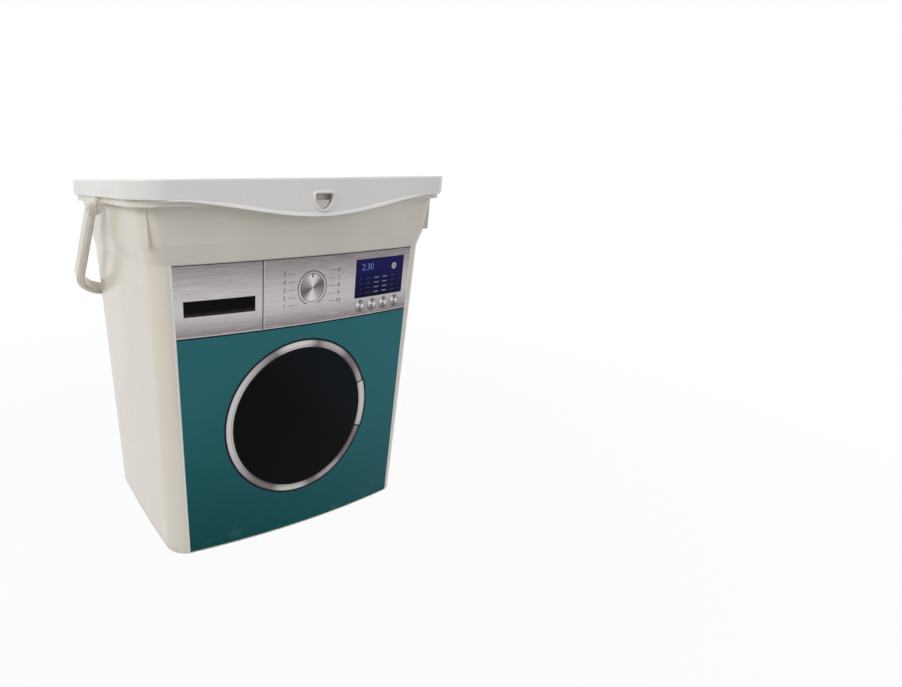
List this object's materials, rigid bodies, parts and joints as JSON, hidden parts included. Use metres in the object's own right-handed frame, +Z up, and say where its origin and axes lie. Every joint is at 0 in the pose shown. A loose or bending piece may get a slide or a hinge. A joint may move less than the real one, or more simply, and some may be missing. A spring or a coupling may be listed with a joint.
{
  "type": "detergent storage box",
  "caption": "Tapered plastic box for washing powder, with a recessed hinged lid, a swinging carrying bail and a front label printed like the front of a washing machine.",
  "frame": {"origin": "centre of the base, on the ground", "axes": "+Z up, -Y towards the labelled front, +X to the right seen from the front"},
  "size_m": [0.3048, 0.2356, 0.3135],
  "materials": {
    "tub": "glossy warm white moulded polypropylene",
    "lid": "glossy cool white moulded polypropylene",
    "bail_handle": "glossy warm white moulded polypropylene",
    "front_label": "satin printed film, teal with silver and black fields"
  },
  "bodies": {
    "box": {"tub": "tub", "front_label": "front_label"},
    "lid": {"lid": "lid"},
    "bail": {"bail_handle": "bail_handle"}
  },
  "joints": [
    {"name": "lid_hinge", "type": "hinge", "parent": "box", "child": "lid", "pos_m": [0, 0.11402, 0.2965], "axis": [-1, 0, 0], "range_deg": [0, 105]},
    {"name": "bail_swing", "type": "hinge", "parent": "box", "child": "bail", "pos_m": [0, -0.00153, 0.2923], "axis": [1, 0, 0], "range_deg": [0, 258]}
  ]
}
